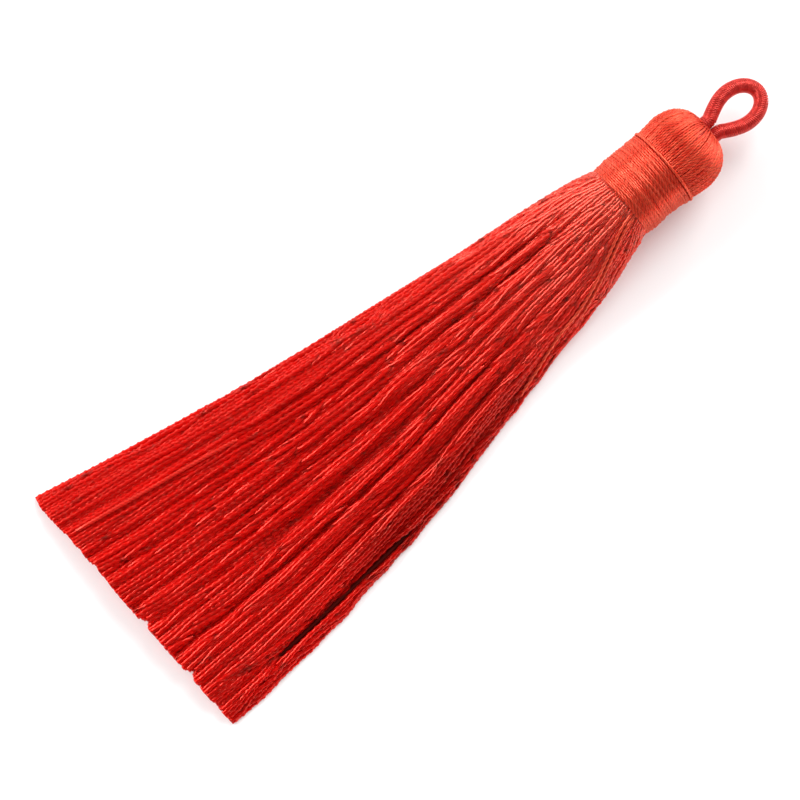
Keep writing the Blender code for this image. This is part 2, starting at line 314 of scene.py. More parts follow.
# Distances down the skirt at which the threads are placed
STATIONS = np.array([-1.5, 0.0, 1.4, 3.0, 5.0, 7.5, 10.5, *range(14, 95, 4), 97.5, 101.0])
DOWN, *COLUMNS = np.array(SKIRT_TABLE).T
LEFT, RIGHT, FOOT, TOP, FLAT, RADIUS = (np.interp(STATIONS, DOWN, column) for column in COLUMNS)
MIDDLE, HALF = (LEFT - RIGHT) / 2, (LEFT + RIGHT) / 2

THREADS = 480
LATTICE_SPAN = 60  # lattice steps each way
LATTICE_SHIFT = (0.31, 0.17)  # off the disc's middle, in steps

# Unevenness of a thread's course: usual half swing, shortest and longest wave
WAVER = ((0.50, 45, 90), (0.12, 20, 36), (0.02, 8, 14))
WAVER_GROWTH = 30  # length over which it grows to full
WAVER_SHARES = (1.0, 0.5)  # of it sideways and upward

# Grooves between locks, drawn at random within these limits. Places are across, -1 to 1, and
# depths are shares of the height
GROOVE_COUNT = 14
GROOVE_PLACES, GROOVE_SCATTER = (-0.78, 0.9), 0.04
GROOVE_STARTS, GROOVE_ENDS = (6, 42), (66, 108)
GROOVE_WIDTHS, GROOVE_DEPTHS = (0.4, 0.9), (0.14, 0.34)
GROOVE_DRIFT, GROOVE_SWAY = 0.025, 17.0  # how far a groove wanders across, and over what length
GROOVE_PHASE = 40  # sets the wandering of neighbouring grooves apart
LOCK_FADE = 12  # length over which a groove or the painted shade on a lock begins and ends

# Deep partings: places down and across along them, and width at the widest
PARTINGS = (
    (((57, -18.25), (61, -18.6), (75, -19.6), (84, -20.05), (90, -20.4)), 1.15),
    (((49, 13.0), (54, 13.9), (59, 14.7)), 0.32),
    (((38, 10.9), (43, 11.6), (48, 12.3)), 0.30),
    (((73, 17.1), (78, 18.0), (83, 18.9)), 0.36),
)
PARTING_FADE = 5.0  # length over which a parting opens and closes
PARTING_BED = 0.50  # height up to which the threads under a parting stay
BED_RADIUS = 0.50  # of the thread laid low under each wide parting, dark with painted shade
BED_STEP = 1.0

# Low hills across the skirt: waves over its width, share of its height
HILLS = ((9, 0.035), (14, 0.045), (23, 0.04))
HILL_GROWTH = 20  # length over which they grow to full
HILL_PHASE, HILL_DRIFT = 1.3, 0.012  # between hills of different widths, and down the skirt
# Bands of lighter and darker threads: waves over the width, drift down the length, strength
BANDS = ((5, 0.010, 0.8), (11, -0.016, 1.0), (19, 0.022, 1.0), (31, -0.03, 0.8))
BAND_PHASE, BAND_CONTRAST = 2.1, 1.6
# Threads bulging out of the -Y edge: distance down, height, half length; and how far in they reach
EDGE_LUMPS = (
    (17.0, 0.22, 1.8), (27.2, 0.32, 2.0), (33.0, 0.22, 1.6), (59.0, 0.34, 2.4),
    (65.2, 0.26, 1.8), (75.0, 0.34, 2.4), (82.0, 0.26, 1.9), (93.5, 0.20, 2.0),
)
LUMP_REACH = 1.6

# The cut ends: the -Y side stops short by CUT_SLANT, each thread by up to CUT_RAGGED,
# and a few small notches (place across in mm, half width, depth)
CUT_SLANT, CUT_RAGGED = 1.0, 0.45
CUT_CORNER, CORNER_FROM, CORNER_WIDTH = 0.4, 16, 4  # how much further the +Y corner reaches, and where
CUT_NOTCHES = ((-2.4, 0.8, 0.8), (-13.3, 0.7, 1.1), (9.5, 0.6, 0.4))


def even_lattice(count):
    """Golden-ratio lattice over the unit disc: its points stay apart however flat it is pressed."""
    step = math.sqrt(math.pi / (count * math.sqrt(5)))
    reach = np.arange(-LATTICE_SPAN, LATTICE_SPAN + 1)
    m, n = np.meshgrid(reach, reach)
    spots = step * np.stack([m + n * GOLDEN, m + n * (1 - GOLDEN)], axis=2).reshape(-1, 2)
    spots = spots + tuple(shift * step for shift in LATTICE_SHIFT)
    return spots[np.hypot(*spots.T) < 1.0]


def wavering(rng, count):
    """Sideways and upward wandering of each thread down the skirt."""
    down = STATIONS[:, None]
    shift = np.zeros((len(STATIONS), count, 2))
    for swing, shortest, longest in WAVER:
        for axis, share in enumerate(WAVER_SHARES):
            wave = rng.uniform(shortest, longest, count)
            phase = rng.uniform(0, TAU, count)
            height = swing * share * rng.normal(0, 1, count)
            shift[:, :, axis] += height * np.sin(TAU * down / wave + phase)
    return shift * ramp(down, 0, WAVER_GROWTH)[:, :, None]


def lock_grooves(rng):
    """Place across, start, end, depth, half width and drift of each groove between two locks. A
    narrow groove is a little deeper, and so is one on the -Y side.
    """
    places = np.linspace(*GROOVE_PLACES, GROOVE_COUNT) + rng.normal(0, GROOVE_SCATTER, GROOVE_COUNT)
    grooves = []
    for spot in places:
        start, end = rng.uniform(*GROOVE_STARTS), rng.uniform(*GROOVE_ENDS)
        wide = rng.uniform(*GROOVE_WIDTHS)
        depth = rng.uniform(*GROOVE_DEPTHS) * (1.4 - 0.5 * wide) * (0.95 - 0.35 * spot)
        grooves.append((spot, start, end, depth, wide, rng.normal(0, GROOVE_DRIFT)))
    return grooves


# ---------------- skirt: settling the threads

SETTLE_ROUNDS = 260
SMOOTHED_ROUNDS = 0.9 * SETTLE_ROUNDS  # the threads sink and are evened out in these only
PAIRS_EVERY = 13  # rounds between two searches for neighbours
PAIR_SLACK = 0.35  # how much further apart than they need neighbours may be
LAP = 0.42  # a higher thread covers one whose middle is nearer than this share of its width
LEVELLING = 0.06  # share by which uncovered threads rise to the top in each round
LEVEL_REACH = 0.4  # the most that counts of how far below the top they are
LOOSENING = 1.5  # how far a thread moves, over the mean of what would part it from each neighbour
SINKING = 0.006  # drop in each round where the skirt lies flat
EVENING = 0.45  # share by which each thread's drift is evened out along it
YIELDING = 0.5  # share by which threads that stand over the top or in a parting give way
PARTING_EDGE = 0.9  # how far a thread keeps from a parting, in radii
EDGE_ARCH = 0.015  # least square of the arch of the top, at the skirt's edges
BUNDLED_TO = 8  # stations nearer than this may be drawn into the neck's round bundle
BUNDLE_FADE = 6  # distance down at which its pull has faded
NECK_CENTRE = (HEAD_LEAN[0][1], AXIS_HEIGHT)


def parting_sides(places, marks, width):
    """A parting's line and half width at STATIONS, and the side of it, 1 or -1, of each thread."""
    down, across = np.array(marks).T
    line = np.interp(STATIONS, down, across)[:, None]
    half = (width / 2 * window(STATIONS, down[0], down[-1], PARTING_FADE))[:, None]
    inside = (STATIONS > down[0]) & (STATIONS < down[-1])
    side = np.where((places[inside, :, 0] - line[inside]).mean(axis=0) < 0, -1, 1)
    return line, half, side[None, :]


def neighbours(places):
    """Pairs of threads that may touch, in each section, and the distance that each pair needs."""
    count = places.shape[1]
    first, second = [], []
    for k, radius in enumerate(RADIUS):
        y, z = places[k, :, 0], places[k, :, 1]
        reach = 2 * radius + PAIR_SLACK
        close = (np.abs(y[:, None] - y) < reach) & (np.abs(z[:, None] - z) < reach)
        i, j = np.nonzero(np.triu(close, 1))
        first.append(i + k * count)
        second.append(j + k * count)
    first, second = np.concatenate(first), np.concatenate(second)
    return first, second, 2 * np.repeat(RADIUS, count)[first]


def push_apart(places, pairs):
    """The places after overlapping threads have moved apart, and which threads lie bare."""
    first, second, needed = pairs
    loose = places.reshape(-1, 2)
    count = len(loose)
    apart = loose[first] - loose[second]
    distance = np.hypot(apart[:, 0], apart[:, 1]) + TINY
    lapped = np.abs(apart[:, 0]) < LAP * needed
    covered = np.bincount(first[lapped & (apart[:, 1] < 0)], minlength=count)
    covered += np.bincount(second[lapped & (apart[:, 1] > 0)], minlength=count)
    push = np.clip(needed - distance, 0, None) / distance / 2
    hit = push > 0
    moves = np.zeros_like(loose)
    for axis in (0, 1):
        step = push[hit] * apart[hit, axis]
        moves[:, axis] += np.bincount(first[hit], step, count)
        moves[:, axis] -= np.bincount(second[hit], step, count)
    hits = np.bincount(first[hit], minlength=count) + np.bincount(second[hit], minlength=count)
    loose = loose + LOOSENING * moves / np.maximum(hits, 1)[:, None]
    return loose.reshape(places.shape), (covered == 0).reshape(places.shape[:2])


def even_out(places, start):
    """Evens out, in place, how far each thread has strayed from its start."""
    gaps = np.diff(STATIONS)
    ahead = (gaps[:-1] / (gaps[:-1] + gaps[1:]))[:, None, None]
    strayed = places - start
    even = (1 - ahead) * strayed[:-2] + ahead * strayed[2:]
    places[1:-1] += EVENING * (even - strayed[1:-1])


def ceiling(across, grooves):
    """Top of the skirt at places across (-1 to 1), as a share of its height."""
    down, flat = STATIONS[:, None], FLAT[:, None]
    arch = np.sqrt(np.clip(1 - across**2, EDGE_ARCH, 1))
    level = (1 - flat) * (1 + arch) / 2 + flat * arch
    for waves, share in HILLS:
        rolling = np.sin(math.pi * waves * across + HILL_PHASE * waves + HILL_DRIFT * down)
        level = level * (1 - share * (1 + rolling) * ramp(down, 0, HILL_GROWTH))
    for spot, begin, end, depth, wide, drift in grooves:
        line = spot + drift * np.sin(down / GROOVE_SWAY + GROOVE_PHASE * spot)
        dip = bell((across - line) * HALF[:, None], 0, wide)
        level = level * (1 - depth * dip * window(down, begin, end, LOCK_FADE))
    return level


def keep_out_of_parting(places, line, wide, side):
    """Moves threads, in place, out of a parting towards their own side of it."""
    off = (places[:, :, 0] - line) * side
    over = (wide > 0) & (places[:, :, 1] > PARTING_BED)
    short = np.where(over, np.clip(wide + PARTING_EDGE * RADIUS[:, None] - off, 0, None), 0)
    places[:, :, 0] += YIELDING * short * side


def gather_at_neck(places):
    """Draws the threads near the neck, in place, into the round bundle that fills it."""
    near = STATIONS < BUNDLED_TO
    off_axis = places[near] - NECK_CENTRE
    far = np.linalg.norm(off_axis, axis=2)
    shrink = np.minimum(1.0, (HALF - RADIUS)[near, None] / np.maximum(far, TINY))
    blend = 1 - ramp(STATIONS[near], 0, BUNDLE_FADE)[:, None]
    shrink = 1 - (1 - shrink) * blend
    places[near] = off_axis * shrink[:, :, None] + NECK_CENTRE


def settle(places, grooves):
    """Moves the threads apart in every section, lets them down, and keeps them inside the skirt."""
    start = places.copy()
    radius, foot, tall = RADIUS[:, None], FOOT[:, None], (TOP - FOOT)[:, None]
    partings = [parting_sides(start, marks, width) for marks, width in PARTINGS]
    for turn in range(SETTLE_ROUNDS):
        if turn % PAIRS_EVERY == 0:
            pairs = neighbours(places)
        places, bare = push_apart(places, pairs)
        if turn < SMOOTHED_ROUNDS:
            places[:, :, 1] -= SINKING * FLAT[:, None]
            even_out(places, start)
        across = (places[:, :, 0] - MIDDLE[:, None]) / HALF[:, None]
        high = places[:, :, 1] + radius - (foot + tall * ceiling(across, grooves))
        rise = np.where(bare, LEVELLING * np.clip(high, -LEVEL_REACH, 0), 0)
        places[:, :, 1] -= YIELDING * np.clip(high, 0, None) + rise
        for parting in partings:
            keep_out_of_parting(places, *parting)
        places[:, :, 1] = np.maximum(places[:, :, 1], foot + radius)
        places[:, :, 0] = np.clip(places[:, :, 0], radius - RIGHT[:, None], LEFT[:, None] - radius)
        gather_at_neck(places)
    return places


def skirt_courses(rng):
    """Sideways place and height of every thread at STATIONS."""
    spots = even_lattice(THREADS)
    across, up = spots[:, 0], spots[:, 1]
    arch = np.sqrt(np.clip(1 - across**2, 0, 1))
    flat = FLAT[:, None]
    level = (1 - flat) * (1 + up) / 2 + flat * (up + arch) / 2
    sideways = MIDDLE[:, None] + (HALF - RADIUS)[:, None] * across
    height = FOOT[:, None] + RADIUS[:, None] + (TOP - FOOT - 2 * RADIUS)[:, None] * level
    places = np.stack([sideways, height], axis=2)
    places += wavering(rng, len(spots))
    return settle(places, lock_grooves(rng))


# ---------------- skirt: what shows, and shades

SIGHT_LINES = (-88, -62, -35, -12, 12, 35, 62, 88)  # degrees off straight down
SIGHT_SPOTS = (-0.7, 0.0, 0.7)  # looked at across each thread, in radii
HIDING_ACROSS, HIDING_OVER = 0.85, 0.3  # how near and how much higher a thread hides it, in radii
MEAN_TONE = 0.76
BAND_TONE, OWN_TONE = 0.36, 0.25  # how much a thread's shade follows its lock, and differs by itself
TIP_TONE, TIPS_FROM, TIPS_LENGTH = 0.15, 70, 20  # the threads are lighter towards the cut ends
PAINTED_NECK_SHEEN, NECK_SHEEN_LENGTH = 0.95, 17.0  # painted sheen: share of the pale colour at the neck, and how slowly it fades
# Painted shade on a lock beside the -Y edge: place across, half width, from, to
PAINTED_SHADE_LOCK = (-0.83, 0.16, 22, 76)


def shown(places):
    """Whether each thread shows at each station or the next, from above or from either side."""
    seen = np.zeros(places.shape[:2], bool)
    for lean in np.radians(SIGHT_LINES):
        across = places[:, :, 0] * math.cos(lean) - places[:, :, 1] * math.sin(lean)
        height = places[:, :, 0] * math.sin(lean) + places[:, :, 1] * math.cos(lean)
        for k, radius in enumerate(RADIUS):
            over = height[k][None, :] > height[k][:, None] + HIDING_OVER * radius
            for spot in SIGHT_SPOTS:
                off = np.abs(across[k][None, :] - (across[k][:, None] + spot * radius))
                covered = (over & (off < HIDING_ACROSS * radius)).any(axis=1)
                seen[k] |= ~covered
    spread = seen.copy()
    spread[1:] |= seen[:-1]
    spread[:-1] |= seen[1:]
    return spread


def ring_stations(seen, end):
    """Distances down of a thread's sections: close where it shows, far apart where it doesn't."""
    marks = []
    for k in range(len(STATIONS) - 1):
        low, high = STATIONS[k], min(STATIONS[k + 1], end)
        if high <= low:
            break
        fine = seen[k] or seen[k + 1]
        steps = max(1, round((high - low) / (RING_STEP if fine else HIDDEN_STEP)))
        marks.append(low + (high - low) * np.arange(steps) / steps)
    return np.append(np.concatenate(marks), end)


def band_tone(across, down):
    """Shade of the threads at a place: neighbours share it, so that locks show."""
    total = sum(
        strength * np.sin(math.pi * waves * across + drift * waves * down + BAND_PHASE * waves)
        for waves, drift, strength in BANDS
    )
    return 0.5 + 0.5 * total / sum(strength for _, _, strength in BANDS) * BAND_CONTRAST


def skirt_tone(rng, across, down):
    """Tone along one thread: its band's and its own, less the painted shade on the lock beside the -Y
    edge, and the tips'.
    """
    spot, half_width, begin, end = PAINTED_SHADE_LOCK
    # painted shade on the lock beside the -Y edge
    painted_shade = bell(across, spot, half_width) * window(down, begin, end, LOCK_FADE)
    own = BAND_TONE * (band_tone(across, down) - 0.5) + OWN_TONE * rng.uniform(-0.5, 0.5)
    at_tip = TIP_TONE * ramp(down, TIPS_FROM, TIPS_LENGTH)
    return np.clip(MEAN_TONE + own - painted_shade + at_tip, 0, 1)


def edge_lumps(down, from_edge):
    """How far a thread near the -Y edge bulges outward, given its distance from that edge."""
    rise = sum(height * bell(down, at, half) for at, height, half in EDGE_LUMPS)
    return rise * (1 - ramp(from_edge, 0, LUMP_REACH))


def cut_ends(rng, tips):
    """How far down each thread is cut."""
    across = tips[:, 0]
    slant = (across.max() - across) / np.ptp(across)
    ends = SKIRT_LENGTH - CUT_SLANT * slant - CUT_RAGGED * rng.uniform(0, 1, len(tips)) ** 2
    ends += CUT_CORNER * ramp(across, CORNER_FROM, CORNER_WIDTH)
    for spot, half, depth in CUT_NOTCHES:
        ends -= depth * bell(across, spot, half)
    return ends


# ---------------- skirt: pieces

# Threads that lie across the others, as places down and across along them, with a radius and a
# ply lead: two that escaped the binding, and a coarser one among the tips
ORANGE_STRAYS = (
    ((
        (-0.6, -2.25), (2.5, -3.1), (8.0, -5.7), (12.2, -7.6),
        (15.7, -8.8), (20.6, -9.8), (27.2, -11.9), (31.5, -13.2),
    ), 0.30, -2.6),
    (((-0.6, -2.85), (2.5, -3.8), (8.0, -6.4), (12.0, -8.2), (16.0, -9.7)), 0.29, -2.6),
)
TIP_STRAYS = ((((70.0, 10.3), (78.0, 11.9), (87.0, 13.5), (95.9, 15.1), (99.5, 15.7)), 0.40, -1.5),)
SURFACE_HALF, SURFACE_STEP = 26.0, 0.1  # the places across at which the skirt's height is read
RESTING = 1.9  # how far apart the middles of two crossing threads are, in radii
BRIDGING_ROUNDS = 60  # of pulling a stray thread taut over the dips
STRAY_SUNK = 0.5  # how deep it beds in, in radii; deeper still at its start and its end
STRAY_SHADES, TIP_STRAY_SHADES = (0.9, 0.1), (1.0, 0.30)  # tone and pale share
START_SUNK, START_LENGTH, END_SUNK, END_LENGTH = 0.6, 1.0, 1.8, 1.5

PIECE_TRIANGLES = 160_000  # a piece of the skirt is closed when it passes this
SORTING_STATION = -6  # the threads are shared out to the pieces by their place across here
THREAD_FULLNESS = 1.62  # half width of a thread's section, over its radius in the packing
END_THINNING, END_TAPER = 0.12, 1.6  # how much thinner that is at the cut end, and from how far
PRESSED = 0.55  # how tall a thread of the skirt stays where the others press it
NECK_SHEEN_RANGE, LEAD_RANGE = (0.8, 1.1), (0.92, 1.1)  # of single threads' painted neck sheen and ply lead, over the usual


def top_surface(places):
    """Height at which a thread laid on the skirt rests, for each station and place across."""
    spots = np.arange(-SURFACE_HALF, SURFACE_HALF + 0.01, SURFACE_STEP)
    heights = np.zeros((len(STATIONS), len(spots)))
    for k, radius in enumerate(RADIUS):
        reach = RESTING * radius
        off = np.abs(places[k, :, 0][:, None] - spots[None, :])
        rise = np.sqrt(np.clip(reach**2 - off**2, 0, None))
        resting = np.where(off < reach, places[k, :, 1][:, None] + rise, 0)
        heights[k] = np.maximum(resting.max(axis=0), radius)
    return spots, heights


def resting_height(down, across, spots, heights):
    """Height of a thread laid over the skirt, taut between its high points."""
    row = np.clip(np.searchsorted(STATIONS, down) - 1, 0, len(STATIONS) - 2)
    share = (down - STATIONS[row]) / (STATIONS[row + 1] - STATIONS[row])
    column = np.clip(np.round((across - spots[0]) / SURFACE_STEP).astype(int), 0, len(spots) - 1)
    height = heights[row, column] * (1 - share) + heights[row + 1, column] * share
    for _ in range(BRIDGING_ROUNDS):
        beside = (height[:-2] + height[2:]) / 2
        height[1:-1] = np.maximum(beside, (height[1:-1] + beside) / 2)
    return height


def stray_threads(name, strays, surface, shades, material):
    """Threads laid over the skirt, whose ends dip in among the others."""
    bundle = ThreadBundle()
    for course, radius, lead in strays:
        marks = np.array(course)
        down = np.arange(marks[0, 0], marks[-1, 0], RING_STEP)
        across = smooth_course(marks[:, 0], marks[:, 1:], down)[:, 0]
        from_start, to_end = down - down[0], down[-1] - down
        sunk = START_SUNK * np.exp(-from_start / START_LENGTH) + END_SUNK * np.exp(-to_end / END_LENGTH)
        height = resting_height(down, across, *surface) - (STRAY_SUNK + sunk) * radius
        path = np.stack([-down, across, height], axis=1)
        bundle.add(path, UPWARD, radius, shades[0], 0.0, lead=lead, pale=shades[1])
    finish_piece(bundle.mesh(name), "thread_hank", material)


def parting_beds(material):
    """A thread low under each wide parting, dark with painted shade, so that it is silk that shows in
    it.
    """
    bundle = ThreadBundle()
    for marks, width in PARTINGS:
        if width < 2 * BED_RADIUS:
            continue
        down, across = np.array(marks).T
        along = np.arange(down[0] - PARTING_FADE, down[-1] + PARTING_FADE, BED_STEP)
        beside = smooth_course(down, across[:, None], np.clip(along, down[0], down[-1]))[:, 0]
        path = np.stack([-along, beside, np.full(len(along), BED_RADIUS)], axis=1)
        bundle.add(path, UPWARD, BED_RADIUS, 0.0, 0.0)
    finish_piece(bundle.mesh("parting_beds"), "thread_hank", material)


def skirt_thread(rng, bundle, stations, down):
    """Adds the thread with these places at STATIONS. Its sections are at the distances down."""
    at = smooth_course(STATIONS, stations, down)
    at[:, 0] -= edge_lumps(down, at[:, 0] + np.interp(down, STATIONS, RIGHT))
    radius = np.interp(down, STATIONS, RADIUS)
    course = np.stack([-down, at[:, 0], np.maximum(at[:, 1], radius)], axis=1)
    across = (at[:, 0] - np.interp(down, STATIONS, MIDDLE)) / np.interp(down, STATIONS, HALF)
    tone = skirt_tone(rng, across, down)
    # painted sheen near the neck: the share of the pale colour fades down the skirt
    pale = PAINTED_NECK_SHEEN * np.exp(-np.clip(down, 0, None) / NECK_SHEEN_LENGTH) * rng.uniform(*NECK_SHEEN_RANGE)
    at_end = ramp(down - down[-1], -END_TAPER, END_TAPER)
    width = radius * (THREAD_FULLNESS - END_THINNING * at_end)
    phase, lead = rng.uniform(0, TAU), PLY_LEAD * rng.uniform(*LEAD_RANGE)
    bundle.add(course, UPWARD, width, tone, phase, lead=lead, pale=pale, press=PRESSED)


def skirt_pieces(rng, material, stray_material, bed_material):
    places = skirt_courses(rng)
    ends = cut_ends(rng, places[-1])
    surface = top_surface(places)
    stray_threads("orange_strays", ORANGE_STRAYS, surface, STRAY_SHADES, stray_material)
    stray_threads("tip_stray", TIP_STRAYS, surface, TIP_STRAY_SHADES, material)
    parting_beds(bed_material)
    seen = shown(places)
    order = np.argsort(places[SORTING_STATION, :, 0])
    bundle, number = ThreadBundle(), 1
    for thread in order:
        down = ring_stations(seen[:, thread], ends[thread])
        skirt_thread(rng, bundle, places[:, thread], down)
        if bundle.triangles() > PIECE_TRIANGLES or thread == order[-1]:
            finish_piece(bundle.mesh(f"skirt_threads_{number}"), "thread_hank", material)
            bundle, number = ThreadBundle(), number + 1


# ---------------- head

# The head's outline from under the binding to the crown: x and distance from the axis
HEAD_PROFILE = (
    (9.00, 6.40), (9.40, 6.55), (10.2, 6.70), (11.2, 6.80), (12.7, 6.92), (14.0, 6.72), (15.0, 6.42),
    (15.9, 5.97), (16.8, 5.22), (17.5, 4.32), (18.05, 2.90), (18.15, 1.60), (18.18, 0.60),
)
HEAD_THREADS = 112
HEAD_RADIUS = 0.22
HEAD_JITTER = 0.05  # of a thread's place, as a share of the space between two
HEAD_WAVER = 0.11  # the same, changing along the thread
HEAD_SLANT = 0.03  # how far a thread drifts round the axis up to the crown, in radians
HEAD_UNEVEN = 0.05  # of a thread's height
HEAD_SHADES = 0.38  # how much a thread's tone changes along it
HEAD_STEPS = 96  # sections of a thread
HEAD_KNOTS = 10  # places along a thread between which its drift and tone change smoothly
HEAD_LEAD = -1.7
# Near the crown every second thread dips under the others: from which radius, over what, how deep
DIP_FROM, DIP_OVER, DIP_DEPTH = 4.9, 1.6, 0.38
CROWN_HOLE, HOLE_STAGGER = 1.3, 0.5  # threads end this far from the axis, and every other one sooner
FULL_RADIUS, LEAST_WIDTH = 6.2, 0.55  # threads narrow from this radius inward, to this share
HEAD_FULLNESS = 1.12  # half width of a thread's section, over its radius

# The body under the threads: its outline inside the binding, how much slimmer than HEAD_PROFILE it is
# beyond, and how much shorter at the crown
BED_NECK = ((-1.0, 5.4), (0.0, 5.75), (4.0, 5.7), (9.0, 5.9))
HEAD_UNDER = 0.30
CROWN_FROM, CROWN_UNDER = 16, 0.25
HEAD_SIDES, HEAD_FLOOR = 96, 0.1  # and how low it may reach


def round_head(x, radius, angle, least):
    """Points at a radius and angle round the head's axis, flattened on the surface."""
    y = np.interp(x, *np.array(HEAD_LEAN).T) + radius * np.cos(angle)
    z = np.maximum(AXIS_HEIGHT + radius * np.sin(angle), least)
    return np.stack([x, y, z], axis=-1)


def revolve(name, outline, around, least):
    """A closed body from an outline of x and radius, round the head's axis."""
    angles = TAU * np.arange(around) / around
    return ringed_body(name, [round_head(np.full(around, x), r, angles, least) for x, r in outline])


def head_outline():
    """HEAD_PROFILE at evenly spaced points, and the outward direction at each."""
    profile = np.array(HEAD_PROFILE)
    gone = distance_along(profile)
    profile = smooth_course(gone, profile, np.linspace(0, gone[-1], HEAD_STEPS))
    slope = np.gradient(profile, axis=0)
    slope /= np.linalg.norm(slope, axis=1, keepdims=True)
    normal = np.stack([-slope[:, 1], slope[:, 0]], axis=1)
    normal *= np.sign(normal[:, 1:2] + TINY)
    return profile, normal


def head_thread(rng, bundle, number, profile, normal):
    """Adds one thread that runs from under the binding to the crown."""
    dips = number % 2 == 0
    along, knots = np.linspace(0, 1, HEAD_STEPS), np.linspace(0, 1, HEAD_KNOTS)
    stray = smooth_course(knots, rng.normal(0, HEAD_WAVER, (HEAD_KNOTS, 1)), along)[:, 0]
    angle = TAU * (number + rng.normal(0, HEAD_JITTER) + stray) / HEAD_THREADS
    drift = HEAD_SLANT * rng.normal() * along**2
    dip = ramp(DIP_FROM - profile[:, 1], 0, DIP_OVER) * (DIP_DEPTH if dips else 0.0)
    lift = rng.normal(0, HEAD_UNEVEN) - dip - HEAD_RADIUS
    shades = rng.uniform(0, 1) + rng.normal(0, HEAD_SHADES, (HEAD_KNOTS, 1))
    kept = profile[:, 1] > CROWN_HOLE + (0 if dips else HOLE_STAGGER)
    x, radius = (profile + normal * lift[:, None])[kept].T
    turn, normal = (angle + drift)[kept], normal[kept]
    outward = [normal[:, 0], normal[:, 1] * np.cos(turn), normal[:, 1] * np.sin(turn)]
    course = round_head(x, radius, turn, HEAD_RADIUS)
    width = np.clip(radius / FULL_RADIUS, LEAST_WIDTH, 1.0) * HEAD_RADIUS * HEAD_FULLNESS
    tone = np.clip(smooth_course(knots, shades, along)[kept, 0], 0, 1)
    bundle.add(course, np.stack(outward, axis=1), width, tone, rng.uniform(0, TAU), lead=HEAD_LEAD)


def head_piece(rng, material):
    """Threads laid over the crown and down into the binding."""
    bundle = ThreadBundle()
    profile, normal = head_outline()
    for number in range(HEAD_THREADS):
        head_thread(rng, bundle, number, profile, normal)
    finish_piece(bundle.mesh("head_threads"), "thread_hank", material)


def head_bed(material):
    """The body of the hank under its outer threads, from the neck to the crown."""
    dome = [(x - CROWN_UNDER * (x > CROWN_FROM), r - HEAD_UNDER) for x, r in HEAD_PROFILE[2:-2]]
    bed = revolve("head_bed", [*BED_NECK, *dome], HEAD_SIDES, HEAD_FLOOR)
    finish_piece(bed, "thread_hank", material)


# ---------------- binding

# The binding's outline: x and distance from the axis
BINDING_PROFILE = ((0.0, 6.35), (2.4, 6.50), (4.75, 6.34), (7.1, 6.44), (9.1, 6.64))
TURNS = 26
BINDING_START, BINDING_END = 0.20, 8.75
BINDING_RADIUS = 0.25
BINDING_UNDER = -0.14  # the middle of its thread, over the profile
BINDING_LEAD = -1.8
TURN_STEPS = 270  # sections in one turn
WANDER_SLOW = 0.37  # waves a turn of the slowest wandering along the neck
WANDER = 0.03  # usual swing of the thread along the neck
UNEVEN_TURNS, UNEVEN_WAVES = 0.02, 7.3  # swing in height of the thread, and waves of it a turn
WINDING_FULLNESS = 1.1  # half width of the thread's section, over its radius
WINDING_FLOOR = 0.9  # lowest height of its middle, in radii
# Tone along the main winding: the middle, the swing, and two slow waves in radians
TURN_TONE, TURN_SHADES, TURN_WAVES = 0.5, 0.35, (61, 37)
# Turns that cross the others: start, end, turns, height over the profile, tone, first angle
CROSSING_TURNS = (
    (0.9, 8.3, 4.6, 0.00, 0.8, 1.0),
    (8.0, 0.8, 3.7, 0.01, 0.3, 2.6),
    (1.6, 6.9, 2.4, 0.02, 1.0, 4.4),
    (7.3, 2.2, 2.1, 0.02, 0.6, 0.2),
)
CROSSING_RADIUS, CROSSING_WANDER = 0.2, 0.2
# The proud turn at the head side, in the same order, and its radius
PROUD_TURN = (8.96, 9.04, 1.04, 0.02, 1.0, -1.9)
PROUD_RADIUS = 0.24
# The core under the turns
NECK_BED = ((0.15, 5.9), (0.2, 6.1), (4.75, 6.25), (8.9, 6.45), (9.0, 6.0))
NECK_SIDES, NECK_FLOOR = 72, 0.05


def winding(rng, bundle, start, end, turns, lift, tone, first_angle, radius, wander=WANDER):
    """Turns of thread round the neck, wandering a little along it."""
    steps = int(turns * TURN_STEPS)
    t = np.linspace(0, 1, steps)
    angle = first_angle + TAU * turns * t
    x = start + (end - start) * t
    for harmonic in range(1, 4):
        drift = rng.normal(0, wander / harmonic)
        x = x + drift * np.sin(harmonic * angle + rng.uniform(0, TAU) + 5 * t)
    x = x + rng.normal(0, wander) * np.sin(TAU * t * turns * WANDER_SLOW + 1.0)
    uneven = UNEVEN_TURNS * np.sin(UNEVEN_WAVES * angle + 2.0 * x)
    distance = np.interp(x, *np.array(BINDING_PROFILE).T) + lift + uneven
    course = round_head(x, distance, angle, radius * WINDING_FLOOR)
    outward = np.stack([np.zeros(steps), np.cos(angle), np.sin(angle)], axis=1)
    width = radius * WINDING_FULLNESS
    bundle.add(course, outward, width, tone, rng.uniform(0, TAU), lead=BINDING_LEAD)


def binding_piece(rng, material):
    """The neck's turns of thread, those that cross them, the proud one, and the core."""
    bundle = ThreadBundle()
    fast, slow = (np.sin(np.linspace(0, end, TURNS * TURN_STEPS)) for end in TURN_WAVES)
    tone = TURN_TONE + TURN_SHADES * fast * slow
    winding(rng, bundle, BINDING_START, BINDING_END, TURNS, BINDING_UNDER, tone, 0.0, BINDING_RADIUS)
    for crossing in CROSSING_TURNS:
        winding(rng, bundle, *crossing, CROSSING_RADIUS, CROSSING_WANDER)
    winding(rng, bundle, *PROUD_TURN, PROUD_RADIUS)
    finish_piece(bundle.mesh("neck_winding"), "neck_binding", material)
    bed = revolve("neck_bed", NECK_BED, NECK_SIDES, NECK_FLOOR)
    finish_piece(bed, "neck_binding", material)


# ---------------- loop

